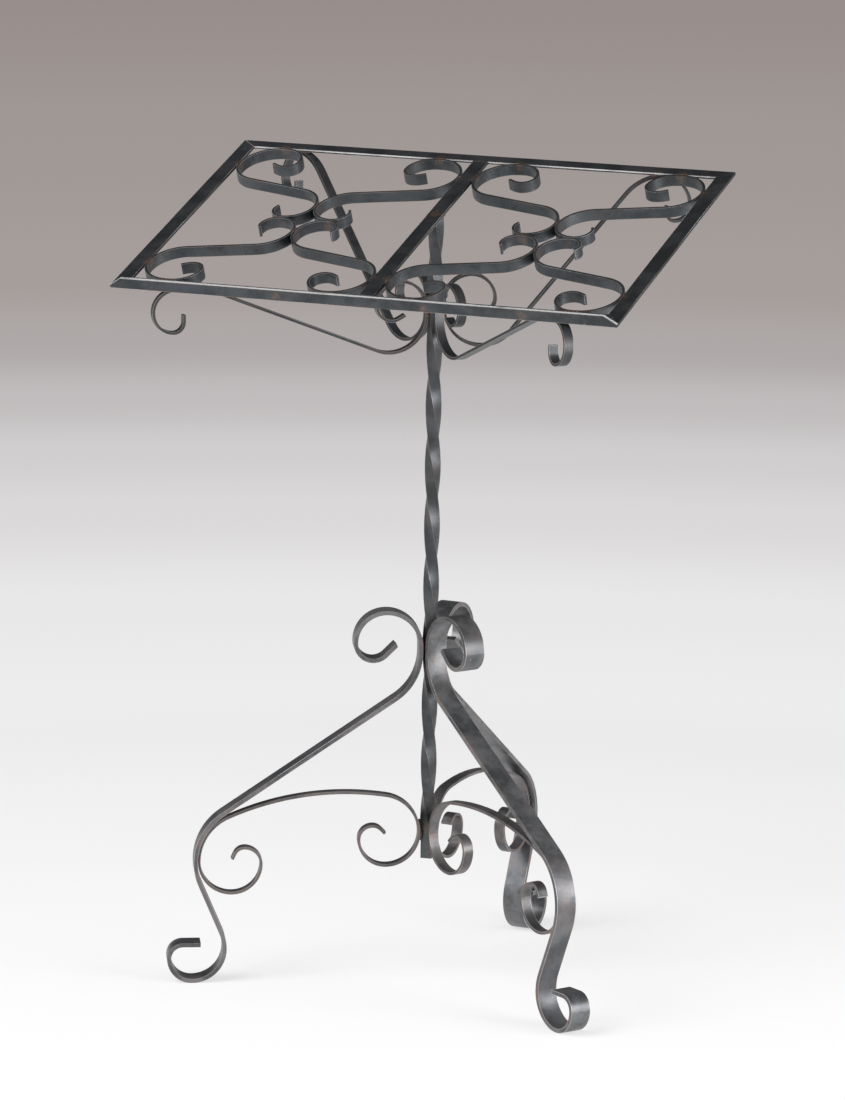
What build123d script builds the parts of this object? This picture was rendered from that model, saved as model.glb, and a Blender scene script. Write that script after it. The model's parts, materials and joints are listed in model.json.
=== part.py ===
from build123d import *
import os
from math import asin, atan, atan2, cos, degrees, hypot, radians, sin, sqrt, tan

# A wrought-iron bible stand. A sloping open desk stands on one twisted post and three scrolled
# legs. Millimetres, +Z up. +X is the reader's right, +Y points away from the reader, and the
# floor is Z = 0. The stand is modelled about the post's axis, and at the end it is set down with
# the origin under the middle of its box.

# Bar stock
post_side = 12.7             # square bar of the post
leg_width = 25.4
leg_thick = 4.8
leg_brace_width = 12.7
leg_brace_thick = 3.2
desk_brace_width = 11.0
desk_brace_thick = 3.2
rail_width = 18.0            # near rail, side rails and centre bar
far_rail_width = 14.0
rail_thick = 3.2
scroll_height = 12.7         # scroll strips stand on edge in the desk
scroll_thick = 3.2
lip_height = 12.7            # the lip stands on edge along the near rail
lip_thick = 3.2
lip_end_slant = 14.4         # length of the sloping cut at each end of the lip
weld_gap = 0.1               # what is left between two bars that are welded together

# Desk
desk_width = 610.0
desk_depth = 352.0           # near edge to far edge, measured up the slope
desk_tilt = 21.4             # degrees, the near edge is the low one
desk_height = 880.0          # top of the desk above the floor, on the post's axis
post_setback = 211.5         # near edge to the post's axis, measured up the slope

# Post
post_foot_height = 142.0     # the post ends clear of the floor
post_plain_length = 22.0     # straight square length at its lower end
quarter_twist_length = 68.2  # length in which the bar turns through 90 degrees, left-handed
post_foot_azimuth = 6.6      # where one face of the plain length looks

# Legs, as seen from the side. Radii are those of the bar's centreline.
leg_azimuths = {"back": 88.4, "left": 210.0, "right": 330.1}
leg_tip_length = 16.5
leg_curl_radius = 20.0
leg_scroll_outer_radius = 35.0
leg_scroll_inner_radius = 38.8
leg_land = 8.0               # straight length that lies on the post
leg_bend_radius = 63.6
thigh_slope = 34.2           # degrees below level
thigh_length = 236.7
knee_radius = 67.0
shin_lean = 23.3             # degrees past upright, towards the post
shin_length = 60.7
ankle_radius = 47.0
foot_inner_radius = 36.9
foot_outer_radius = 26.1
foot_curl_radius = 15.8
foot_tip_length = 20.0

# Leg braces
leg_brace_height = 172.0     # where the brace touches the post
leg_brace_tip_length = 7.0
post_curl_radii = (13.0, 15.5, 30.4, 38.0)    # from the tip to the post
leg_brace_rise_radius = 44.0
leg_brace_span_radius = 320.0
leg_brace_knee_radius = 56.0  # tighter than the leg's knee, which it touches at one place
leg_curl_radii = (37.0, 33.5, 19.0, 12.0)     # from the knee to the tip
leg_curl_last_turn = 65.0

# Desk braces
desk_brace_azimuths = {"back_right": 30.3, "back_left": 151.0, "front_left": 218.8, "front_right": 321.2}
front_brace_drop = 114.0     # how far below the desk's top the brace leaves the post
back_brace_drop = 106.5
desk_brace_land = 8.0
desk_brace_low_radius = 42.0
desk_brace_curl_radii = (17.0, 27.0, 30.0)    # from the tip to the post
desk_brace_curl_turn = 120.0
desk_brace_tip_length = 8.0
front_crest_radius = 88.0
back_crest_radius = 57.0
front_hook_radii = (25.5, 22.5, 12.0)
back_hook_radii = (33.0, 17.5, 9.0)
front_seat_depth = 9.0       # from the rail's inner edge to where the brace touches it
back_seat_depth = 6.0

# Desk scrolls
scroll_tip_length = 6.0
scroll_tail_bend_radius = 20.0
scroll_tail_bend_turn = 30.0
scroll_curl_radius = 14.0
scroll_cap_radius = 27.0
scroll_land = 5.0            # straight length that lies along a cross rail
scroll_big_radius = 38.0
scroll_waist_radius = 38.0
scroll_heart_radius = 28.0
scroll_heart_curl_radius = 17.0
scroll_heart_tip_radius = 12.0
scroll_heart_tip_turn = 40.0


# ---- bent flat bar ----

UP, LEFT, DOWN = 90.0, 180.0, 270.0    # headings, in degrees, with 0 to the right


def run(length):
    """A straight length of bar."""
    return ("run", length, 0.0)


def bend(radius, turn):
    """A bend in the bar; the turn is in degrees, and a left turn is positive."""
    return ("bend", radius, turn)


def after(place, move, share=1.0):
    """The place (x, y, heading) reached after a share of one move along the centreline."""
    x, y, heading = place
    kind, size, turn = move
    if kind == "run":
        length = size * share
        return (x + length * cos(radians(heading)), y + length * sin(radians(heading)), heading)
    side = 1 if turn > 0 else -1
    end = heading + turn * share
    centre_x = x - side * size * sin(radians(heading))
    centre_y = y + side * size * cos(radians(heading))
    return (centre_x + side * size * sin(radians(end)),
            centre_y - side * size * cos(radians(end)), end)


def trace(start, moves):
    """Every place along a chain of moves, the start included."""
    places = [start]
    for move in moves:
        places.append(after(places[-1], move))
    return places


def start_through(moves, index, heading, x=None, y=None):
    """The start from which place number index has this heading, and the given x, y or both."""
    first_heading = heading - sum(turn for _, _, turn in moves[:index])
    place = trace((0.0, 0.0, first_heading), moves)[index]
    start_x = 0.0 if x is None else x - place[0]
    start_y = 0.0 if y is None else y - place[1]
    return (start_x, start_y, first_heading)


def beside(place, offset):
    """The point that lies to the left of a place, or to its right if negative."""
    x, y, heading = place
    return (x - offset * sin(radians(heading)), y + offset * cos(radians(heading)))


def edge_line(place, move, offset):
    """One move's edge, drawn beside the centreline."""
    first = beside(place, offset)
    last = beside(after(place, move), offset)
    if move[0] == "run":
        return Line(first, last)
    return ThreePointArc(first, beside(after(place, move, 0.5), offset), last)


def flat_bar(start, moves, thick, width):
    """A flat bar bent in the XY plane, with half its width on each side of the plane."""
    places = trace(start, moves)
    half = thick / 2
    left = [edge_line(place, move, half) for place, move in zip(places, moves)]
    right = [edge_line(place, move, -half) for place, move in zip(places, moves)]
    start_cap = Line(beside(places[0], half), beside(places[0], -half))
    end_cap = Line(beside(places[-1], half), beside(places[-1], -half))
    outline = Wire(left + [end_cap] + right[::-1] + [start_cap])
    return extrude(Face(outline), amount=width / 2, both=True)


def upright(azimuth):
    """The upright plane through the post's axis: its x runs outwards, and its y runs up."""
    out = radians(azimuth)
    return Plane(origin=(0, 0, 0), x_dir=(cos(out), sin(out), 0), z_dir=(sin(out), -cos(out), 0))


def crossing_tangent(first, first_radius, second, second_radius):
    """Heading and length of the straight that leaves a left bend and enters a right bend."""
    dx = second[0] - first[0]
    dy = second[1] - first[1]
    distance = hypot(dx, dy)
    radii = first_radius + second_radius
    heading = degrees(atan2(dy, dx) + asin(radii / distance))
    return heading, sqrt(distance ** 2 - radii ** 2)


# ---- post ----

def face_azimuth(height):
    """Where one face of the post looks at a height; it turns clockwise on the way up."""
    twisted = max(0.0, height - post_foot_height - post_plain_length)
    return post_foot_azimuth - 90.0 * twisted / quarter_twist_length


def post_reach(azimuth, height):
    """How far the square post reaches out from its axis in one direction."""
    angle = radians(azimuth - face_azimuth(height))
    return post_side / 2 * (abs(cos(angle)) + abs(sin(angle)))


def seat(azimuth, low, high, below, above, crowding):
    """Distance from the post's axis to the face of a bar that just touches the post.

    The bar's face is straight from low to high, and curves away with the radii below and above.
    Crowding is the least distance that keeps the bar clear of its neighbours.
    """
    distance = crowding
    steps = 80
    reach_of_search = min(below, above) / 2
    for i in range(-steps, steps + 1):
        height = (low + high) / 2 + ((high - low) / 2 + reach_of_search) * i / steps
        past_high = max(0.0, height - high)
        past_low = max(0.0, low - height)
        retreat = above - sqrt(above ** 2 - past_high ** 2) + below - sqrt(below ** 2 - past_low ** 2)
        distance = max(distance, post_reach(azimuth, height) - retreat)
    return distance + weld_gap


def crowding(width, azimuths):
    """How near the axis a bar of this width can stand beside its nearest neighbour."""
    ordered = sorted(azimuths)
    gaps = [after_it - it for it, after_it in zip(ordered, ordered[1:] + [ordered[0] + 360.0])]
    return width / 2 / tan(radians(min(gaps) / 2))


def desk_plane():
    """The top face of the desk: its y runs up the slope, and its origin is on the post's axis."""
    tilt = radians(desk_tilt)
    return Plane(origin=(0, 0, desk_height), x_dir=(1, 0, 0), z_dir=(0, -sin(tilt), cos(tilt)))


def make_post():
    """Twisted square bar, cut at the slope of the centre bar that it carries."""
    foot = Plane(origin=(0, 0, post_foot_height)) * Rot(0, 0, post_foot_azimuth)
    square = foot * Rectangle(post_side, post_side)
    plain = extrude(square, amount=post_plain_length)
    twist_foot = post_foot_height + post_plain_length
    twist_top = desk_height + post_side
    angle = -90.0 * (twist_top - twist_foot) / quarter_twist_length
    section = Pos(0, 0, post_plain_length) * square
    twisted = Solid.extrude_linear_with_rotation(
        section.face(), (0, 0, twist_foot), (0, 0, twist_top - twist_foot), angle)
    underside = desk_plane().offset(-rail_thick)
    bar = plain + twisted
    return split(bar, bisect_by=underside, keep=Keep.BOTTOM)


# ---- legs ----

def leg_moves():
    """The leg from the tip of its top scroll to the tip of its foot."""
    return [
        run(leg_tip_length),
        bend(leg_curl_radius, 135.0),
        bend(leg_scroll_outer_radius, 90.0),
        bend(leg_scroll_inner_radius, 90.0),
        run(leg_land),
        bend(leg_bend_radius, 90.0 - thigh_slope),
        run(thigh_length),
        bend(knee_radius, thigh_slope - 90.0 - shin_lean),
        run(shin_length),
        bend(ankle_radius, shin_lean),
        bend(foot_inner_radius, 90.0),
        bend(foot_outer_radius, 90.0),
        bend(foot_curl_radius, 90.0),
        run(foot_tip_length),
    ]


LEG_LAND_TOP = 4             # places along the leg, counted from its top tip
LEG_LAND_FOOT = 5
LEG_KNEE = 7
LEG_SOLE = 11


def leg_start(azimuth):
    """The leg stands on the floor and touches the post."""
    half = leg_thick / 2
    moves = leg_moves()
    stood = start_through(moves, LEG_LAND_TOP, DOWN)
    sole = trace(stood, moves)[LEG_SOLE][1]
    start = (stood[0], stood[1] + half - sole, stood[2])
    places = trace(start, moves)
    low = places[LEG_LAND_FOOT][1]
    high = places[LEG_LAND_TOP][1]
    below = leg_bend_radius + half
    above = leg_scroll_inner_radius + half
    face = seat(azimuth, low, high, below, above, crowding(leg_width, leg_azimuths.values()))
    return (start[0] + face + half - places[LEG_LAND_TOP][0], start[1], start[2])


def make_leg(azimuth):
    bar = flat_bar(leg_start(azimuth), leg_moves(), leg_thick, leg_width)
    return upright(azimuth) * bar


def knee_centre(azimuth):
    """Centre of the knee bend, in the leg's own upright plane."""
    place = trace(leg_start(azimuth), leg_moves())[LEG_KNEE]
    return beside(place, -knee_radius)


# ---- leg braces ----

def leg_brace_path(azimuth):
    """The brace: a scroll on the post, a long rise, a stretch inside the knee, a scroll."""
    half = leg_brace_thick / 2
    below = post_curl_radii[-1] + half
    above = leg_brace_rise_radius + half
    face = seat(azimuth, leg_brace_height, leg_brace_height, below, above,
                crowding(leg_brace_width, leg_azimuths.values()))
    contact_x = face + half
    rise_centre = (contact_x + leg_brace_rise_radius, leg_brace_height)
    knee = knee_centre(azimuth)
    inner_face = knee[0] + knee_radius - leg_thick / 2
    bend_centre = (inner_face - weld_gap - half - leg_brace_knee_radius, knee[1])
    rise_heading, knee_heading = span_headings(rise_centre, bend_centre)
    moves = [
        run(leg_brace_tip_length),
        bend(post_curl_radii[0], -45.0),
        bend(post_curl_radii[1], -90.0),
        bend(post_curl_radii[2], -90.0),
        bend(post_curl_radii[3], -90.0),
        bend(leg_brace_rise_radius, rise_heading - 90.0),
        bend(leg_brace_span_radius, knee_heading - rise_heading),
        bend(leg_brace_knee_radius, -90.0 - knee_heading),
        bend(leg_curl_radii[0], -90.0),
        bend(leg_curl_radii[1], -90.0),
        bend(leg_curl_radii[2], -90.0),
        bend(leg_curl_radii[3], -leg_curl_last_turn),
        run(leg_brace_tip_length),
    ]
    touch = 5                # the place where the brace touches the post, on its way up
    start = start_through(moves, touch, UP, x=contact_x, y=leg_brace_height)
    return start, moves


def span_headings(rise_centre, bend_centre):
    """Headings at the two ends of the long arc that joins the rise to the knee bend."""
    from_rise = leg_brace_span_radius - leg_brace_rise_radius
    from_knee = leg_brace_span_radius - leg_brace_knee_radius
    dx = bend_centre[0] - rise_centre[0]
    dy = bend_centre[1] - rise_centre[1]
    distance = hypot(dx, dy)
    along = (from_rise ** 2 - from_knee ** 2 + distance ** 2) / (2 * distance)
    across = sqrt(from_rise ** 2 - along ** 2)
    centre_x = rise_centre[0] + (along * dx + across * dy) / distance
    centre_y = rise_centre[1] + (along * dy - across * dx) / distance
    rise_heading = degrees(atan2(rise_centre[1] - centre_y, rise_centre[0] - centre_x)) - 90.0
    knee_heading = degrees(atan2(bend_centre[1] - centre_y, bend_centre[0] - centre_x)) - 90.0
    return rise_heading, knee_heading


def make_leg_brace(azimuth):
    start, moves = leg_brace_path(azimuth)
    return upright(azimuth) * flat_bar(start, moves, leg_brace_thick, leg_brace_width)


# ---- desk braces ----

def rail_seat(azimuth, inner_edge_y, seat_depth):
    """Where a brace meets the underside of a rail, and the slope of that underside there.

    The underside also leans across the brace, so the brace is lower by what keeps its higher
    edge just touching.
    """
    tilt = radians(desk_tilt)
    away = abs(inner_edge_y) * cos(tilt) + seat_depth
    out = away / abs(sin(radians(azimuth)))
    grade = sin(radians(azimuth)) * tan(tilt)
    lean = abs(cos(radians(azimuth))) * tan(tilt)
    height = desk_height - rail_thick / cos(tilt) + grade * out - lean * desk_brace_width / 2
    return out, height, degrees(atan(grade))


def make_desk_brace(azimuth, drop, inner_edge_y, seat_depth, crest_radius, hook_radii):
    """A brace: a scroll on the post, a low bend, a straight, a crest under the rail, a hook."""
    half = desk_brace_thick / 2
    foot_height = desk_height - drop
    below = desk_brace_low_radius + half
    above = desk_brace_curl_radii[-1] + half
    face = seat(azimuth, foot_height, foot_height + desk_brace_land, below, above,
                crowding(desk_brace_width, desk_brace_azimuths.values()))
    contact_x = face + half
    low_centre = (contact_x + desk_brace_low_radius, foot_height)
    out, height, slope = rail_seat(azimuth, inner_edge_y, seat_depth)
    crest_centre = beside((out, height, slope), -(half + weld_gap + crest_radius))
    heading, length = crossing_tangent(low_centre, desk_brace_low_radius, crest_centre, crest_radius)
    moves = [
        run(desk_brace_tip_length),
        bend(desk_brace_curl_radii[0], desk_brace_curl_turn),
        bend(desk_brace_curl_radii[1], 90.0),
        bend(desk_brace_curl_radii[2], 90.0),
        run(desk_brace_land),
        bend(desk_brace_low_radius, 90.0 + heading),
        run(length),
        bend(crest_radius, slope - heading),
        bend(hook_radii[0], -90.0 - slope),
        bend(hook_radii[1], -90.0),
        bend(hook_radii[2], -90.0),
        run(desk_brace_tip_length),
    ]
    leaves_post = 5          # the place where the low bend begins, on the way down
    start = start_through(moves, leaves_post, DOWN, x=contact_x, y=foot_height)
    return upright(azimuth) * flat_bar(start, moves, desk_brace_thick, desk_brace_width)


# ---- desk: drawn flat with its top face at z = 0, then laid on the slope ----

near_edge = -post_setback
far_edge = desk_depth - post_setback
near_inner = near_edge + rail_width
far_inner = far_edge - far_rail_width
side_outer = desk_width / 2
side_inner = side_outer - rail_width


def desk_plate(corners, top=0.0, thick=rail_thick):
    """A flat piece of the desk with these corners, its top face at the given level."""
    face = make_face(Polyline(*corners, close=True))
    return desk_plane() * (Pos(0, 0, top - thick) * extrude(face, amount=thick))


def make_side_rail(side):
    return desk_plate([
        (side * side_outer, near_edge),
        (side * side_outer, far_edge),
        (side * side_inner, far_inner),
        (side * side_inner, near_inner),
    ])


def make_cross_rail(edge, inner):
    return desk_plate([
        (-side_outer, edge),
        (side_outer, edge),
        (side_inner, inner),
        (-side_inner, inner),
    ])


def make_centre_bar():
    half = rail_width / 2
    return desk_plate([(-half, near_inner), (half, near_inner), (half, far_inner), (-half, far_inner)])


def make_book_lip():
    """The lip stands on edge in front of the near rail, level with its underside."""
    rise = lip_height - rail_thick
    half_top = side_outer - lip_end_slant
    outline = Polyline(
        (-side_outer, -rail_thick),
        (side_outer, -rail_thick),
        (side_outer, 0),
        (half_top, rise),
        (-half_top, rise),
        (-side_outer, 0),
        close=True)
    front = Plane(origin=(0, near_edge - lip_thick, 0), x_dir=(1, 0, 0), z_dir=(0, -1, 0))
    plate = extrude(front * make_face(outline), amount=-lip_thick)
    return desk_plane() * plate


panel_half_width = (side_inner - rail_width / 2) / 2
panel_half_depth = (far_inner - near_inner) / 2
panel_centre_x = rail_width / 2 + panel_half_width
panel_centre_y = (far_inner + near_inner) / 2


def scroll_path():
    """The scroll of a panel's far left quarter, drawn about the panel's centre.

    Its big loop touches the side rail and the far rail. Its small loop touches the mirror
    copies of itself on both centre lines of the panel.
    """
    half = scroll_thick / 2
    big_x = -panel_half_width + weld_gap + half + scroll_big_radius
    big_y = panel_half_depth - weld_gap - half - scroll_big_radius
    inset = weld_gap / 2 + half
    waist_x = -inset - scroll_waist_radius
    waist_y = inset + scroll_heart_radius
    heading, length = crossing_tangent(
        (big_x, big_y), scroll_big_radius, (waist_x, waist_y), scroll_waist_radius)
    moves = [
        run(scroll_tip_length),
        bend(scroll_tail_bend_radius, scroll_tail_bend_turn),
        bend(scroll_curl_radius, 90.0),
        bend(scroll_cap_radius, 90.0),
        run(scroll_land),
        bend(scroll_big_radius, 180.0 + heading),
        run(length),
        bend(scroll_waist_radius, -90.0 - heading),
        bend(scroll_heart_radius, -90.0),
        bend(scroll_heart_curl_radius, -90.0),
        bend(scroll_heart_tip_radius, -scroll_heart_tip_turn),
    ]
    land_end = 5             # the place where the big loop leaves the far rail
    start = start_through(moves, land_end, LEFT, x=big_x, y=big_y + scroll_big_radius)
    return start, moves


def make_scrolls():
    """Eight equal scrolls: four in each panel, mirrored about both of its centre lines."""
    start, moves = scroll_path()
    upper_left = Pos(0, 0, -scroll_height / 2) * flat_bar(start, moves, scroll_thick, scroll_height)
    upper_right = mirror(upper_left, about=Plane.YZ)
    quarters = {
        "far_left": upper_left,
        "far_right": upper_right,
        "near_left": mirror(upper_left, about=Plane.XZ),
        "near_right": mirror(upper_right, about=Plane.XZ),
    }
    scrolls = {}
    for panel, side in (("left_panel", -1), ("right_panel", 1)):
        place = Pos(side * panel_centre_x, panel_centre_y, 0)
        for quarter, bar in quarters.items():
            scrolls[f"scroll_{panel}_{quarter}"] = desk_plane() * (place * bar)
    return scrolls


# ---- assembly ----

def make_stand():
    nodes = {"post": make_post()}
    for name, azimuth in leg_azimuths.items():
        nodes[f"leg_{name}"] = make_leg(azimuth)
        nodes[f"leg_brace_{name}"] = make_leg_brace(azimuth)
    front = (front_brace_drop, near_inner, front_seat_depth, front_crest_radius, front_hook_radii)
    back = (back_brace_drop, far_inner, back_seat_depth, back_crest_radius, back_hook_radii)
    for name, azimuth in desk_brace_azimuths.items():
        shape = front if azimuth > 180.0 else back
        nodes[f"desk_brace_{name}"] = make_desk_brace(azimuth, *shape)
    nodes["rail_left"] = make_side_rail(-1)
    nodes["rail_right"] = make_side_rail(1)
    nodes["rail_near"] = make_cross_rail(near_edge, near_inner)
    nodes["rail_far"] = make_cross_rail(far_edge, far_inner)
    nodes["centre_bar"] = make_centre_bar()
    nodes["book_lip"] = make_book_lip()
    nodes.update(make_scrolls())
    return nodes


def set_down(nodes):
    """Moves the stand so that the origin is on the floor under the middle of its box."""
    box = Compound(children=[Compound(list(node.solids())) for node in nodes.values()]).bounding_box()
    middle = box.center()
    shift = Pos(-middle.X, -middle.Y, -box.min.Z)
    return {name: shift * node for name, node in nodes.items()}


os.makedirs("parts", exist_ok=True)
for node_name, node in set_down(make_stand()).items():
    export_step(node, f"parts/{node_name}.step")
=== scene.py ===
import json
from itertools import combinations
from math import cos, radians, sin

import bmesh
import bpy
import numpy as np
from mathutils import Matrix, Vector, noise
from mathutils.bvhtree import BVHTree


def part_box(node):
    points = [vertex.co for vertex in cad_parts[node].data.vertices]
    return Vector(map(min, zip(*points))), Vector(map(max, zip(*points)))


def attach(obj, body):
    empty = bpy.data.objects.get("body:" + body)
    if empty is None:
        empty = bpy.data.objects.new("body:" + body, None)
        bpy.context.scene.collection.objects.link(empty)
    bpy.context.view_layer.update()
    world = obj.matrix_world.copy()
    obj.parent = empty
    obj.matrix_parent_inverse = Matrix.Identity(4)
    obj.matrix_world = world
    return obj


# Looks for a bible stand of blackened, scrolled bar steel. Metres, in the CAD model's frame.
# The CAD bars keep their shapes, and get steel finishes and rounded edges. The new pieces are
# the beads of weld metal in the notches where bars touch.

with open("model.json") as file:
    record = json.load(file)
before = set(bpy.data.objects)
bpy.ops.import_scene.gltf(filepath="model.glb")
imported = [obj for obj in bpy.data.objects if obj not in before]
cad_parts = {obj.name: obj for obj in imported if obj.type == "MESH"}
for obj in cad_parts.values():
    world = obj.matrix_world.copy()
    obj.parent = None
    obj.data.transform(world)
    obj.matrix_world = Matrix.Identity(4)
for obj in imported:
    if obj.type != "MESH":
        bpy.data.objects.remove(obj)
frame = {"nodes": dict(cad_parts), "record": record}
nodes = frame["nodes"]
slots = {part["node"]: part["material_slot"] for part in frame["record"]["subparts"]}
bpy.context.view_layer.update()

post_low, post_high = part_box("post")
post_axis = Vector(((post_low.x + post_high.x) / 2, (post_low.y + post_high.y) / 2, 0.0))

# Camera: seen from the reader's side, a little to the right and above
camera_azimuth = radians(24.825)
camera_elevation = radians(10.619)
camera_roll = radians(0.769)
camera_distance = 6.343
aim_left = 0.0103            # how far left of the post's axis the middle of the picture is
aim_up = 0.4892              # how far above the post's foot, across the line of sight
lens_mm = 181.5
sensor_mm = 36.0
view_end = 100.0             # nothing further away is drawn

# Desk: its top is the plane of the record's only mount
book_rest = frame["record"]["mounts"][0]
desk_top_point = Vector(book_rest["pos_m"])
desk_up = Vector(book_rest["axis"])
desk_near = Vector((0.0, -desk_up.z, desk_up.y))     # down the slope, to the reader
rail_thick = 0.0032
lip_mark_places = (-0.099, 0.079, 0.195)    # X of the brown marks on the lip's outer face
lip_mark_height = 0.004      # above the lip's lowest edge

# Steel finishes: dark and light patina, brown, corner brightness (real wear and painted
# highlight), roughness. The far rail and the lip have their own, and the other bars have their
# slot's.
finishes = {
    "post_bar": ((0.050, 0.054, 0.057), (0.096, 0.103, 0.108), 0.6, 0.3, 0.42),
    "leg_bar": ((0.092, 0.096, 0.099), (0.205, 0.212, 0.219), 0.8, 1.2, 0.42),
    "leg_brace_bar": ((0.088, 0.087, 0.088), (0.180, 0.176, 0.177), 0.9, 0.9, 0.42),
    "desk_brace_bar": ((0.038, 0.041, 0.043), (0.078, 0.083, 0.087), 0.9, 0.6, 0.42),
    "scroll_bar": ((0.041, 0.046, 0.050), (0.076, 0.084, 0.090), 0.5, 0.6, 0.40),
    "desk_frame_bar": ((0.037, 0.041, 0.044), (0.074, 0.081, 0.087), 0.4, 1.0, 0.38),
    "rail_far": ((0.037, 0.041, 0.044), (0.074, 0.081, 0.087), 0.4, 1.2, 0.38),
    "book_lip": ((0.040, 0.045, 0.048), (0.078, 0.086, 0.092), 0.3, 1.0, 0.38),
}

# Patterns in the steel: scale in features per metre, detail, roughness
patina_noise = (24.0, 8.0, 0.66)
cloud_noise = (7.0, 3.0, 0.5)
blotch_noise = (33.0, 6.0, 0.7)
grain_noise = (280.0, 5.0, 0.7)
dent_noise = (60.0, 2.0, 0.4)
heat_noise = (90.0, 4.0, 0.6)
speck_noise = (38.0, 2.0, 0.5)
weld_patch_noise = (160.0, 5.0, 0.6)
weld_grain_noise = (700.0, 4.0, 0.7)
speck_cells = 80.0           # specks per metre where they lie thick
speck_radii = (0.110, 0.060)     # outer and inner, as shares of a cell

# Colours in the steel
blue_cloud = (0.062, 0.071, 0.088)
brown_tint = (1.25, 0.97, 0.90)      # brown as shares of the light patina's red
heat_colours = ((0.130, 0.080, 0.060), (0.27, 0.18, 0.14))
# Grey and brown on the bright corners: real wear and painted highlight along the corners
edge_colours = ((0.50, 0.51, 0.52), (0.40, 0.26, 0.19))
# Pale grey painted highlight on the faces of the far rail and the lip that look one way
painted_highlight_colour = (0.72, 0.72, 0.72)
speck_colour = (0.36, 0.35, 0.33)
weld_scale_colour = (0.052, 0.050, 0.050)
weld_rust_colour = (0.150, 0.085, 0.058)
weld_copper_colour = (0.34, 0.22, 0.16)

# How strong each mark is, from 0 to 1, and how far it reaches
blue_strength = 0.45
blotch_strength = 0.3
rim_strength = 0.7
brown_rim = (0.003, 0.99, 0.85)      # along each corner of a bar: edge_share's numbers
# Bright corners, as edge_share's numbers: real wear and painted highlight along the corners
bright_corner = (0.0012, 0.985, 0.88)
bright_corner_grain = 0.35            # how much the grain breaks up the bright corners: real wear and painted highlight
heat_strength = 0.42
heat_full, heat_end = 0.0025, 0.0085    # distances from a weld's middle
heat_raggedness = 0.016      # how far that distance is off, from least to most
highlight_edge_width = 0.0003         # half the width in which a face with painted highlight turns dark
speck_strength = 0.6

# Surface: shares of metal, what the patterns add to roughness and height, and the bump's
# strength and depth
# Bright corners and painted highlight are less metallic, so they look pale
skin_metallic, wear_and_highlight_metallic = 0.7, 0.2
patina_roughness, grain_roughness = 0.24, 0.14
wear_and_highlight_polish = 0.08           # how much smoother the bright corners and the painted highlight are
dent_height, grain_height = 0.75, 0.12
bar_bump = (0.35, 0.0012)
weld_bump = (0.4, 0.0004)
weld_roughness = (0.34, 0.62)

# Welds
weld_reach = 0.0006          # bars that come nearer than this are welded
box_margin = 0.0015          # how much two bars' boxes grow before they are compared
weld_test_spacing = 0.0012   # between the points of a surface that are tested

# Weld beads: reach from the middle of the weld, and the widest notch that is filled
bead_sizes = {"scroll": (0.0075, 0.0011), "post": (0.011, 0.0032), "other": (0.009, 0.0019)}
tightest_notch = 0.00025
ball_test_spacing = 0.0006
ball_spacing = 0.0009
ball_overlap = 0.00045       # how far a ball of weld metal goes into each bar
ball_lump = (0.00025, 450.0)         # height and features per metre
bead_ripple = (0.00018, 1400.0)      # height and features per metre
bead_voxel = 0.00042
clean_depth = 0.0035         # beads between two scrolls stay this far below the desk's top

# Rounded corners of the bars, by the first word of the bar's name
edge_rounding = {"post": 0.0008, "leg": 0.0006, "other": 0.0005}

# Stage
floor_radius = 14.0
# The floor glows though it is no lamp: painted light, darkening with distance as painted falloff
floor_painted_glow_share = 0.6             # share of the floor's light that is painted glow, which shadows don't touch
floor_shadow_end = (1.2, 2.8)        # shadows fade out between these distances
floor_painted_light_spot = 0.6      # how far in front of the post the painted pool of light on the floor is brightest
floor_painted_light_strength = 1.05     # strength of the painted glow there, falling to 1 between the next two distances
floor_painted_light_end = (0.6, 3.0)
floor_painted_falloff = [            # painted falloff of light: distance from the brightest spot in metres, colour
    (0.0, (1.0, 1.0, 1.0)),
    (0.9, (0.99, 0.99, 0.99)),
    (1.4, (0.96, 0.96, 0.962)),
    (2.0, (0.89, 0.888, 0.892)),
    (2.8, (0.815, 0.805, 0.81)),
    (3.6, (0.705, 0.69, 0.695)),
    (4.2, (0.63, 0.615, 0.62)),
    (4.8, (0.53, 0.505, 0.51)),
    (5.5, (0.425, 0.395, 0.393)),
    (6.4, (0.380, 0.343, 0.331)),
    (8.6, (0.355, 0.318, 0.304)),
    (13.6, (0.314, 0.270, 0.260)),
]
backdrop_colour = (0.30, 0.26, 0.25)
room_front_colour = (0.62, 0.61, 0.61)
room_back_colour = (0.10, 0.10, 0.105)
room_back = Vector((-0.35, 0.62, 0.70)).normalized()     # the dark side: behind, left and above
lamp_target = post_axis + Vector((0.0, 0.0, 0.5))
softboxes = {                # azimuth, elevation, distance, width, watts, share of gloss
    "key_softbox": (radians(-30.0), radians(40.0), 3.6, 2.4, 95.0, 0.35),
    "side_softbox": (radians(86.0), radians(4.0), 2.4, 1.2, 36.0, 0.5),
}


# ---- helpers ----

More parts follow.
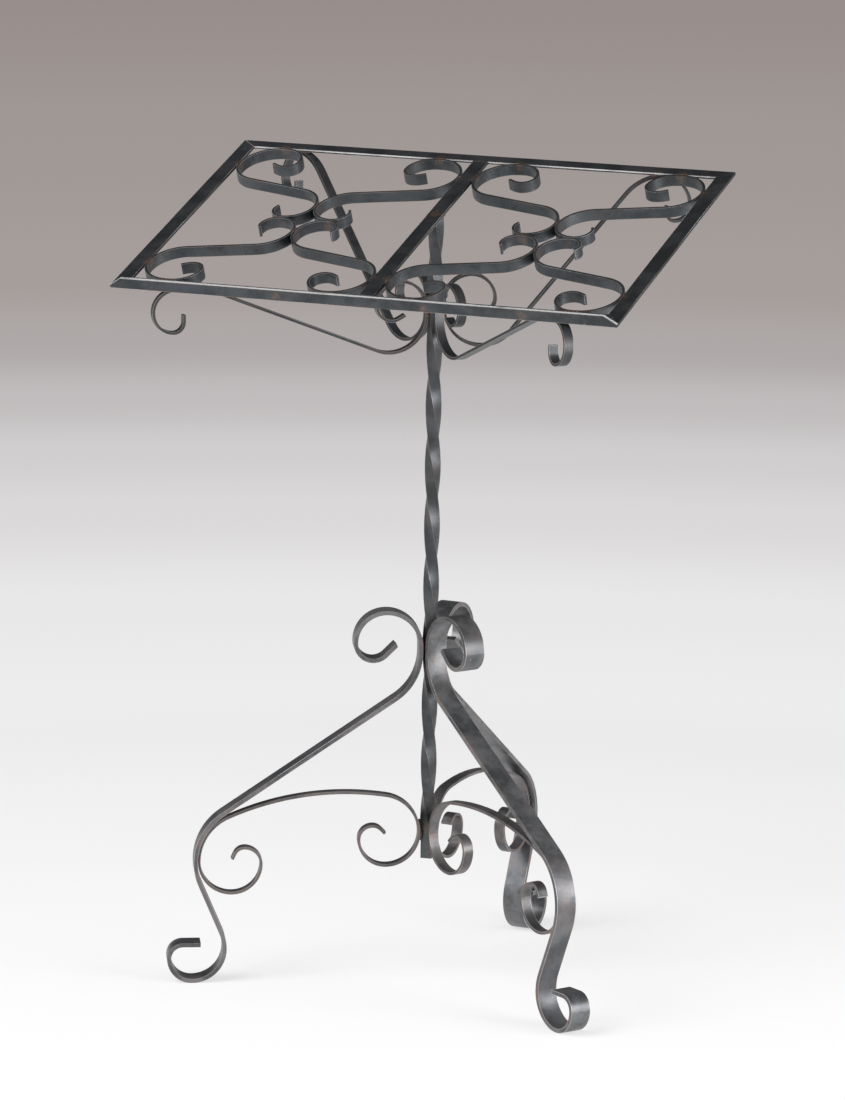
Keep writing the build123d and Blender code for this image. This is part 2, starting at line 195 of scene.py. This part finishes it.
class Shader:
    """Short names for building a node tree."""

    def __init__(self, tree):
        self.tree = tree

    def add(self, kind, **settings):
        node = self.tree.nodes.new(kind)
        for key, value in settings.items():
            setattr(node, key, value)
        return node

    def put(self, socket, value):
        """Links a socket to another, or sets it to a number, vector or colour."""
        if isinstance(value, bpy.types.NodeSocket):
            self.tree.links.new(value, socket)
        else:
            socket.default_value = value

    def math(self, operation, *values, clamp=False):
        node = self.add("ShaderNodeMath", operation=operation, use_clamp=clamp)
        for socket, value in zip(node.inputs, values):
            self.put(socket, value)
        return node.outputs[0]

    def vector_math(self, operation, first, second):
        """The dot product of two vectors, or the distance between two places."""
        node = self.add("ShaderNodeVectorMath", operation=operation)
        self.put(node.inputs[0], first)
        self.put(node.inputs[1], second)
        return node.outputs["Value"]

    def ramp(self, value, low, high, to_low=0.0, to_high=1.0):
        """A smooth step from to_low to to_high as the value goes from low to high.

        A noise lies mostly between 0.3 and 0.7, so low and high do too where they cut one up.
        """
        node = self.add("ShaderNodeMapRange", interpolation_type="SMOOTHSTEP")
        self.put(node.inputs["Value"], value)
        self.put(node.inputs["From Min"], low)
        self.put(node.inputs["From Max"], high)
        self.put(node.inputs["To Min"], to_low)
        self.put(node.inputs["To Max"], to_high)
        return node.outputs["Result"]

    def noise(self, place, scale, detail, roughness):
        node = self.add("ShaderNodeTexNoise")
        self.put(node.inputs["Vector"], place)
        self.put(node.inputs["Scale"], scale)
        self.put(node.inputs["Detail"], detail)
        self.put(node.inputs["Roughness"], roughness)
        return node.outputs["Fac"]

    def mix(self, share, first, second):
        """A mix of two colours, each a socket or red, green and blue."""
        node = self.add("ShaderNodeMix", data_type="RGBA")
        self.put(node.inputs["Factor"], share)
        for key, colour in (("A", first), ("B", second)):
            is_socket = isinstance(colour, bpy.types.NodeSocket)
            self.put(node.inputs[key], colour if is_socket else (*colour, 1.0))
        return node.outputs["Result"]

    def bump(self, height, strength, distance):
        node = self.add("ShaderNodeBump")
        self.put(node.inputs["Height"], height)
        self.put(node.inputs["Strength"], strength)
        self.put(node.inputs["Distance"], distance)
        return node.outputs["Normal"]

    def mix_shaders(self, share, first, second):
        node = self.add("ShaderNodeMixShader")
        for socket, value in zip(node.inputs, (share, first, second)):
            self.put(socket, value)
        return node.outputs["Shader"]

    def metal(self, colour, roughness, metallic, normal):
        node = self.add("ShaderNodeBsdfPrincipled")
        self.put(node.inputs["Base Color"], colour)
        self.put(node.inputs["Roughness"], roughness)
        self.put(node.inputs["Metallic"], metallic)
        self.put(node.inputs["Normal"], normal)
        return node.outputs["BSDF"]

    def show(self, shader, output="ShaderNodeOutputMaterial"):
        self.put(self.add(output).inputs["Surface"], shader)


def new_material(name):
    material = bpy.data.materials.new(name)
    material.use_nodes = True
    material.node_tree.nodes.clear()
    return material, Shader(material.node_tree)


def new_object(name, data):
    thing = bpy.data.objects.new(name, data)
    bpy.context.collection.objects.link(thing)
    return thing


def direction(azimuth, elevation):
    """Where something lies as seen from the stand. Azimuth 0 is the reader's side, and it grows
    towards the reader's right."""
    return Vector((sin(azimuth) * cos(elevation), -cos(azimuth) * cos(elevation), sin(elevation)))


# ---- where the bars are welded ----

def triangles_of(mesh):
    """The corners of a mesh's triangles, as an array of triangle, corner, coordinate."""
    places = np.empty(len(mesh.vertices) * 3)
    mesh.vertices.foreach_get("co", places)
    mesh.calc_loop_triangles()
    corners = np.empty(len(mesh.loop_triangles) * 3, dtype=np.int32)
    mesh.loop_triangles.foreach_get("vertices", corners)
    return places.reshape(-1, 3)[corners.reshape(-1, 3)]


def spread_points(triangles, low, high, spacing):
    """Points spread over the part of a surface that lies in a box."""
    near = ((triangles.max(axis=1) > low) & (triangles.min(axis=1) < high)).all(axis=1)
    a, b, c = triangles[near].transpose(1, 0, 2)
    areas = np.linalg.norm(np.cross(b - a, c - a), axis=1) / 2
    counts = np.ceil(areas / spacing ** 2).astype(int)
    a, b, c = (np.repeat(corner, counts, axis=0) for corner in (a, b, c))
    u, v = rng.random((2, len(a), 1))
    over = u + v > 1
    u[over], v[over] = 1 - u[over], 1 - v[over]
    points = a + u * (b - a) + v * (c - a)
    return points[((points > low) & (points < high)).all(axis=1)]


def tree_of(triangles):
    corners = [Vector(corner) for corner in triangles.reshape(-1, 3)]
    return BVHTree.FromPolygons(corners, [(i, i + 1, i + 2) for i in range(0, len(corners), 3)])


def shows_no_weld(first, second):
    """The joints within the desk frame and along the lip are ground flush."""
    both_frame = slots[first] == slots[second] == "desk_frame_bar"
    return both_frame or "book_lip" in (first, second)


def find_welds():
    """Every pair of bars that touch, and the middle of the place where they do."""
    found = {}
    for first, second in combinations(sorted(nodes), 2):
        if shows_no_weld(first, second):
            continue
        first_low, first_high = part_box(first)
        second_low, second_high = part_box(second)
        low = np.maximum(first_low, second_low) - box_margin
        high = np.minimum(first_high, second_high) + box_margin
        if (low >= high).any():
            continue
        points = spread_points(surfaces[first], low, high, weld_test_spacing)
        tree = trees[second]
        touching = [point for point in points if tree.find_nearest(Vector(point), weld_reach)[0]]
        if touching:
            found[first, second] = Vector(np.mean(touching, axis=0))
    return found


# ---- materials ----

def edge_share(sh, radius, start, full):
    """1 on the corners of a bar, 0 on its flats. Start and full are how much the rounded normal
    still agrees with the face's own where the share leaves 0 and reaches 1."""
    rounded = sh.add("ShaderNodeBevel", samples=8)
    sh.put(rounded.inputs["Radius"], radius)
    normal = sh.add("ShaderNodeNewGeometry").outputs["Normal"]
    agreement = sh.vector_math("DOT_PRODUCT", rounded.outputs["Normal"], normal)
    return sh.ramp(agreement, start, full)


def patina_colour(sh, place, patina, cloud, dark, light, brown):
    """Mottled black, with bluish clouds, brown blotches and brown rims along the corners."""
    colour = sh.mix(sh.ramp(patina, 0.39, 0.62), dark, light)
    blue_share = sh.math("MULTIPLY", sh.ramp(cloud, 0.50, 0.70), blue_strength)
    colour = sh.mix(blue_share, colour, blue_cloud)
    blotches = sh.ramp(sh.noise(place, *blotch_noise), 0.46, 0.66)
    rim = sh.math("MULTIPLY", edge_share(sh, *brown_rim), sh.ramp(patina, 0.30, 0.55))
    rim = sh.math("MULTIPLY", rim, rim_strength)
    brown_share = sh.math("MULTIPLY_ADD", blotches, blotch_strength, rim)
    brown_colour = [light[0] * tint for tint in brown_tint]
    return sh.mix(sh.math("MULTIPLY", brown_share, brown), colour, brown_colour)


def heat_share(sh, place, hot_spots):
    """1 near the welds, with a ragged edge."""
    ragged = sh.math("MULTIPLY_ADD", sh.noise(place, *heat_noise), heat_raggedness, -heat_raggedness / 2)
    nearest = None
    for spot in hot_spots:
        away = sh.vector_math("DISTANCE", place, spot)
        nearest = away if nearest is None else sh.math("MINIMUM", nearest, away)
    return sh.ramp(sh.math("ADD", nearest, ragged), heat_end, heat_full)


def bright_corner_share(sh, cloud, grain, corner_brightness):
    """How far the corners are painted bright, from 0 to 1: real wear and painted highlight along them.
    """
    corner = edge_share(sh, *bright_corner)
    wear_and_highlight_patches = sh.ramp(sh.math("MULTIPLY_ADD", grain, bright_corner_grain, cloud), 0.56, 0.80)
    return sh.math("MULTIPLY", sh.math("MULTIPLY", corner, wear_and_highlight_patches), corner_brightness, clamp=True)


def painted_highlight_share(sh, place, patina, side):
    """How far the faces that look to one side, above the middle of the rails, get a pale painted
    highlight.
    """
    normal = sh.add("ShaderNodeNewGeometry").outputs["True Normal"]
    facing = sh.ramp(sh.vector_math("DOT_PRODUCT", normal, side), 0.35, 0.5)
    level = sh.vector_math("DOT_PRODUCT", place, desk_up)
    middle = desk_top_point.dot(desk_up) - rail_thick / 2
    upper = sh.ramp(level, middle - highlight_edge_width, middle + highlight_edge_width)
    share = sh.math("MULTIPLY", upper, facing)
    return sh.math("MULTIPLY", share, sh.ramp(patina, 0.30, 0.48, 0.45, 0.95))


def speck_share(sh, place):
    """1 on small pale specks, which lie thick here and there."""
    cells = sh.add("ShaderNodeTexVoronoi", feature="F1")
    sh.put(cells.inputs["Vector"], place)
    sh.put(cells.inputs["Scale"], speck_cells)
    dot = sh.ramp(cells.outputs["Distance"], *speck_radii)
    return sh.math("MULTIPLY", dot, sh.ramp(sh.noise(place, *speck_noise), 0.60, 0.64))


def blackened_steel(name, dark, light, brown, corner_brightness, roughness, hot_spots, highlight_side=None):
    """Waxed black steel: mottled patina, brown heat tints at the welds, bright corners of real wear
    and painted highlight, pale specks.

    The highlight side is a direction: the faces that look that way get a pale grey painted
    highlight, down to half the thickness of the desk's rails.
    """
    material, sh = new_material(name)
    place = sh.add("ShaderNodeTexCoord").outputs["Object"]
    patina = sh.noise(place, *patina_noise)
    cloud = sh.noise(place, *cloud_noise)
    grain = sh.noise(place, *grain_noise)
    dents = sh.noise(place, *dent_noise)

    colour = patina_colour(sh, place, patina, cloud, dark, light, brown)
    heat_colour = sh.mix(sh.ramp(grain, 0.40, 0.62), *heat_colours)
    heat = sh.math("MULTIPLY", heat_share(sh, place, hot_spots), heat_strength)
    colour = sh.mix(heat, colour, heat_colour)
    # Bright corners: real wear and painted highlight, in grey and brown
    wear_and_highlight = bright_corner_share(sh, cloud, grain, corner_brightness)
    colour = sh.mix(wear_and_highlight, colour, sh.mix(sh.ramp(patina, 0.44, 0.60), *edge_colours))
    # Painted highlight: pale grey on the faces that look to the highlight side
    if highlight_side is not None:
        wear_and_highlight_patches = painted_highlight_share(sh, place, patina, highlight_side)
        colour = sh.mix(wear_and_highlight_patches, colour, painted_highlight_colour)
        wear_and_highlight = sh.math("MAXIMUM", wear_and_highlight, wear_and_highlight_patches)
    specks = sh.math("MULTIPLY", speck_share(sh, place), speck_strength)
    colour = sh.mix(specks, colour, speck_colour)

    patina_part = sh.math("MULTIPLY", patina, patina_roughness)
    uneven = sh.math("ADD", patina_part, sh.math("MULTIPLY", grain, grain_roughness))
    uneven = sh.math("ADD", uneven, roughness - (patina_roughness + grain_roughness) / 2)
    rough = sh.math("SUBTRACT", uneven, sh.math("MULTIPLY", wear_and_highlight, wear_and_highlight_polish), clamp=True)
    metallic = sh.math("MULTIPLY_ADD", wear_and_highlight, wear_and_highlight_metallic - skin_metallic, skin_metallic)
    dent_part = sh.math("MULTIPLY", dents, dent_height)
    height = sh.math("ADD", dent_part, sh.math("MULTIPLY", grain, grain_height))
    sh.show(sh.metal(colour, rough, metallic, sh.bump(height, *bar_bump)))
    return material


def weld_steel():
    """Rough weld metal: dark scale with rust brown and coppery tints."""
    material, sh = new_material("weld_steel")
    place = sh.add("ShaderNodeTexCoord").outputs["Object"]
    patch = sh.noise(place, *weld_patch_noise)
    grain = sh.noise(place, *weld_grain_noise)
    colour = sh.mix(sh.ramp(patch, 0.38, 0.58), weld_scale_colour, weld_rust_colour)
    colour = sh.mix(sh.ramp(patch, 0.58, 0.72), colour, weld_copper_colour)
    rough = sh.ramp(grain, 0.3, 0.7, *weld_roughness)
    sh.show(sh.metal(colour, rough, skin_metallic, sh.bump(grain, *weld_bump)))
    return material


def hot_spots_of(slot):
    """The middles of the welds on the bars of one slot."""
    return [spot for pair, spot in welds.items() if slot in (slots[pair[0]], slots[pair[1]])]


def lip_marks():
    lip_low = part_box("book_lip")[0]
    return [Vector((x, lip_low.y, lip_low.z + lip_mark_height)) for x in lip_mark_places]


def steel_for(name, hot_spots, highlight_side=None):
    steel_name = name.removesuffix("_bar") + "_steel"
    return blackened_steel(steel_name, *finishes[name], hot_spots, highlight_side)


def make_materials():
    """A steel for each slot, for the two bars with a painted highlight on one side, and for the welds.
    """
    made = {slot: steel_for(slot, hot_spots_of(slot)) for slot in sorted(set(slots.values()))}
    # Painted highlight on the far rail's faces that look down the slope, and on the lip's top faces
    made["rail_far"] = steel_for("rail_far", hot_spots_of("desk_frame_bar"), desk_near)
    made["book_lip"] = steel_for("book_lip", lip_marks(), desk_up)
    made["weld"] = weld_steel()
    return made


# ---- weld beads ----

def bead_size(first, second):
    if "scroll_bar" in (slots[first], slots[second]):
        return bead_sizes["scroll"]
    if "post" in (first, second):
        return bead_sizes["post"]
    return bead_sizes["other"]


def depth_in_desk(place):
    """How far a place lies below the top face of the desk."""
    return (desk_top_point - place).dot(desk_up)


def bead_balls(first, second, middle):
    """Small balls of metal that fill the notch beside the place where two bars touch."""
    reach, widest_notch = bead_size(first, second)
    both_scrolls = slots[first] == slots[second]
    low, high = np.array(middle) - reach, np.array(middle) + reach
    cells = set()
    balls = []
    for point in spread_points(surfaces[first], low, high, ball_test_spacing):
        place, _, _, gap = trees[second].find_nearest(Vector(point), widest_notch)
        if place is None or gap < tightest_notch:
            continue
        centre = (Vector(point) + place) / 2
        cell = tuple(int(x) for x in centre / ball_spacing)
        if (centre - middle).length > reach or cell in cells:
            continue
        if both_scrolls and depth_in_desk(centre) < clean_depth:
            continue
        cells.add(cell)
        lump_height, lump_scale = ball_lump
        lump = noise.noise(centre * lump_scale)
        balls.append((centre, gap / 2 + ball_overlap + lump_height * lump))
    return balls


def ball_shape():
    """The corners and faces of a small round ball of radius 1."""
    form = bmesh.new()
    bmesh.ops.create_icosphere(form, subdivisions=1, radius=1.0)
    corners = np.array([corner.co for corner in form.verts])
    faces = np.array([[corner.index for corner in face.verts] for face in form.faces])
    form.free()
    return corners, faces


def melted(name, balls):
    """The rough skin of a heap of small balls, as a new mesh."""
    corners, faces = ball_shape()
    all_corners = [corners * radius + np.array(centre) for centre, radius in balls]
    all_faces = [faces + len(corners) * i for i in range(len(balls))]
    raw = bpy.data.meshes.new(name)
    raw.from_pydata(np.concatenate(all_corners).tolist(), [], np.concatenate(all_faces).tolist())
    heap = new_object(name, raw)
    skin = heap.modifiers.new("skin", "REMESH")
    skin.mode = "VOXEL"
    skin.voxel_size = bead_voxel
    soft = heap.modifiers.new("soft", "SMOOTH")
    soft.factor = 0.5
    soft.iterations = 3
    view = bpy.context.evaluated_depsgraph_get()
    mesh = bpy.data.meshes.new_from_object(heap.evaluated_get(view))
    bpy.data.objects.remove(heap)
    return mesh


def bead_piece(name, pairs):
    """All the beads of one kind of joint, as one piece."""
    form = bmesh.new()
    for pair in pairs:
        form.from_mesh(melted(name, bead_balls(*pair, welds[pair])))
    form.normal_update()
    ripple_height, ripple_scale = bead_ripple
    for corner in form.verts:
        corner.co += corner.normal * ripple_height * noise.noise(corner.co * ripple_scale)
    for face in form.faces:
        face.smooth = True
    mesh = bpy.data.meshes.new(name)
    form.to_mesh(mesh)
    form.free()
    mesh.materials.append(materials["weld"])
    piece = new_object(name, mesh)
    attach(piece, "root")


def make_weld_beads():
    """One piece for each two slots whose bars are welded, which may be one slot twice."""
    kinds = {}
    for pair in welds:
        kind = tuple(sorted({slots[pair[0]], slots[pair[1]]}))
        kinds.setdefault(kind, []).append(pair)
    for kind, pairs in kinds.items():
        name = "weld_" + "_".join(slot.removesuffix("_bar") for slot in kind)
        bead_piece(name, pairs)


# ---- the CAD bars' finish ----

def finish_nodes():
    for name, bar in nodes.items():
        bar.data.materials.clear()
        bar.data.materials.append(materials.get(name, materials[slots[name]]))
        kind = name.split("_")[0]
        rounding = bar.modifiers.new("rounded_edges", "BEVEL")
        rounding.width = edge_rounding.get(kind, edge_rounding["other"])
        rounding.segments = 2
        rounding.limit_method = "ANGLE"
        rounding.angle_limit = radians(50)
        rounding.harden_normals = True


# ---- stage ----

def floor_paper_painted_light():
    """Matt paper with painted light: colour that darkens with distance as painted falloff, a glow
    as if lit, and real shadows near the stand.
    """
    material, sh = new_material("floor_paper_painted_light")
    place = sh.add("ShaderNodeTexCoord").outputs["Object"]
    # Painted pool of light on the floor, in front of the post
    painted_light_spot = direction(camera_azimuth, 0.0) * floor_painted_light_spot
    away = sh.vector_math("DISTANCE", place, painted_light_spot)
    shade = sh.add("ShaderNodeValToRGB")
    shade.color_ramp.interpolation = "EASE"
    stops = shade.color_ramp.elements
    for _ in floor_painted_falloff[2:]:
        stops.new(0.5)
    for stop, (distance, colour) in zip(stops, floor_painted_falloff):
        stop.position = distance / floor_radius
        stop.color = (*colour, 1.0)
    sh.put(shade.inputs["Fac"], sh.math("DIVIDE", away, floor_radius))
    paper = sh.add("ShaderNodeBsdfDiffuse")
    sh.put(paper.inputs["Color"], shade.outputs["Color"])
    # Painted light: the floor glows in its painted falloff colour, strongest at the painted pool of
    # light
    painted_glow = sh.add("ShaderNodeEmission")
    sh.put(painted_glow.inputs["Color"], shade.outputs["Color"])
    sh.put(painted_glow.inputs["Strength"], sh.ramp(away, *floor_painted_light_end, floor_painted_light_strength, 1.0))
    painted_glow_share = sh.ramp(away, *floor_shadow_end, floor_painted_glow_share, 1.0)
    sh.show(sh.mix_shaders(painted_glow_share, paper.outputs["BSDF"], painted_glow.outputs["Emission"]))
    return material


def make_floor():
    mesh = bpy.data.meshes.new("floor")
    form = bmesh.new()
    bmesh.ops.create_circle(form, cap_ends=True, segments=128, radius=floor_radius)
    form.to_mesh(mesh)
    form.free()
    mesh.materials.append(floor_paper_painted_light())
    floor = new_object("floor", mesh)
    floor.location = post_axis


def make_world():
    """The backdrop that the camera sees, and the soft room light: bright in front, dark behind."""
    world = bpy.data.worlds.new("studio")
    bpy.context.scene.world = world
    world.use_nodes = True
    world.node_tree.nodes.clear()
    sh = Shader(world.node_tree)
    backdrop = sh.add("ShaderNodeBackground")
    sh.put(backdrop.inputs["Color"], (*backdrop_colour, 1.0))
    towards = sh.add("ShaderNodeTexCoord").outputs["Generated"]
    behind = sh.ramp(sh.vector_math("DOT_PRODUCT", towards, room_back), 0.15, 0.85)
    room = sh.add("ShaderNodeBackground")
    sh.put(room.inputs["Color"], sh.mix(behind, room_front_colour, room_back_colour))
    seen = sh.add("ShaderNodeLightPath").outputs["Is Camera Ray"]
    choice = sh.mix_shaders(seen, room.outputs["Background"], backdrop.outputs["Background"])
    sh.show(choice, "ShaderNodeOutputWorld")


def make_softbox(name, azimuth, elevation, distance, width, power, gloss):
    """A large, soft, square lamp that looks at the middle of the stand."""
    lamp = bpy.data.lights.new(name, "AREA")
    lamp.shape = "SQUARE"
    lamp.size = width
    lamp.energy = power
    lamp.specular_factor = gloss
    box = new_object(name, lamp)
    out = direction(azimuth, elevation)
    box.location = lamp_target + out * distance
    box.rotation_euler = (-out).to_track_quat("-Z", "Y").to_euler()
    box.visible_camera = False


def make_camera():
    out = direction(camera_azimuth, camera_elevation)
    right = Vector((cos(camera_azimuth), sin(camera_azimuth), 0.0))
    up = out.cross(right)
    rolled_right = right * cos(camera_roll) + up * sin(camera_roll)
    rolled_up = up * cos(camera_roll) - right * sin(camera_roll)
    data = bpy.data.cameras.new("camera")
    data.sensor_fit = "AUTO"
    data.sensor_width = sensor_mm
    data.lens = lens_mm
    data.clip_end = view_end
    camera = new_object("camera", data)
    camera.rotation_euler = Matrix((rolled_right, rolled_up, out)).transposed().to_euler()
    camera.location = post_axis + out * camera_distance - right * aim_left + up * aim_up
    bpy.context.scene.camera = camera


# ---- the making ----

rng = np.random.default_rng(7)
surfaces = {name: triangles_of(bar.data) for name, bar in nodes.items()}
trees = {name: tree_of(triangles) for name, triangles in surfaces.items()}
welds = find_welds()
materials = make_materials()
make_weld_beads()
finish_nodes()

bpy.context.scene.view_settings.view_transform = "Standard"
make_camera()
make_floor()
make_world()
for softbox_name, settings in softboxes.items():
    make_softbox(softbox_name, *settings)
